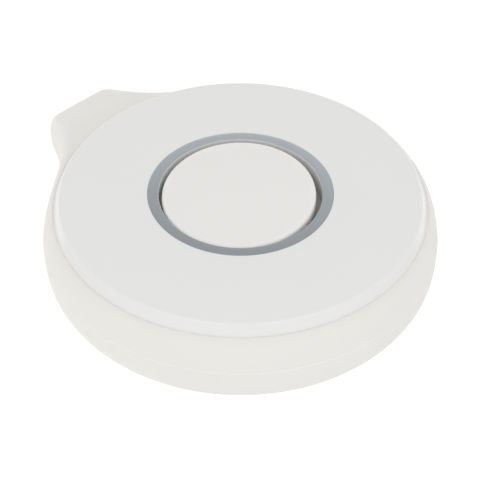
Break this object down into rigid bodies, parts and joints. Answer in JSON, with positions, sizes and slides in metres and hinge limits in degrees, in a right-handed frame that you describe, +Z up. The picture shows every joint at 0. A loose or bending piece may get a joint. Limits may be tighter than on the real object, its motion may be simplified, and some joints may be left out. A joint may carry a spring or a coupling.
{
  "type": "wireless push button",
  "caption": "Round push-button puck in a soft sleeve with a cord lug: glossy front, lit ring round the button, coin cell behind a twist-off door.",
  "frame": {"origin": "on the front cover's axis, on the surface that the part stands on", "axes": "+Z up out of the front, +Y out along the cord lug"},
  "size_m": [0.056, 0.0649, 0.0139],
  "materials": {
    "silicone": "matt soft moulding, warm white",
    "gloss_white": "glossy moulding, cool white",
    "satin_white": "satin moulding, white",
    "smoke_diffuser": "translucent grey moulding",
    "shell_white": "fine matt texture",
    "seal_rubber": "black seal rubber",
    "board_green": "solder-resist laminate",
    "black_resin": "moulded black resin",
    "light_resin": "clear yellowish resin",
    "tinned_steel": "plated steel",
    "gilt_metal": "gilt spring metal"
  },
  "bodies": {
    "case": {"soft_sleeve": "silicone", "front_cover": "gloss_white", "light_ring": "smoke_diffuser", "button_seal": "seal_rubber", "seal_carrier": "black_resin", "circuit_board": "board_green", "switch_body": "black_resin", "led_1": "light_resin", "led_2": "light_resin", "led_3": "light_resin", "led_4": "light_resin", "radio_module": "tinned_steel", "antenna": "gilt_metal", "microcontroller": "black_resin", "crystal": "tinned_steel", "supply_capacitor": "black_resin", "coin_cell": "tinned_steel", "positive_contact": "gilt_metal", "negative_contact": "gilt_metal", "rear_housing": "shell_white", "cover_seal": "seal_rubber", "screw_1": "tinned_steel", "screw_2": "tinned_steel", "screw_3": "tinned_steel", "screw_4": "tinned_steel"},
    "button": {"button_cap": "satin_white"},
    "switch_plunger": {"switch_stem": "satin_white"},
    "door": {"battery_door": "shell_white", "door_seal": "seal_rubber"}
  },
  "joints": [
    {"name": "button_press", "type": "slide", "parent": "case", "child": "button", "axis": [0, 0, -1], "range_m": [0, 0.0005], "stiffness_N_per_m": 2000, "springref_m": -0.0005, "deforming": ["button_seal"]},
    {"name": "stem_slide", "type": "slide", "parent": "case", "child": "switch_plunger", "axis": [0, 0, -1], "range_m": [0, 0.0005]},
    {"name": "door_twist", "type": "hinge", "parent": "case", "child": "door", "pos_m": [0, 0, 0], "axis": [0, 0, -1], "range_deg": [0, 35]}
  ],
  "couplings": [
    {"joint": "stem_slide", "follows": "button_press", "ratio": 1}
  ]
}
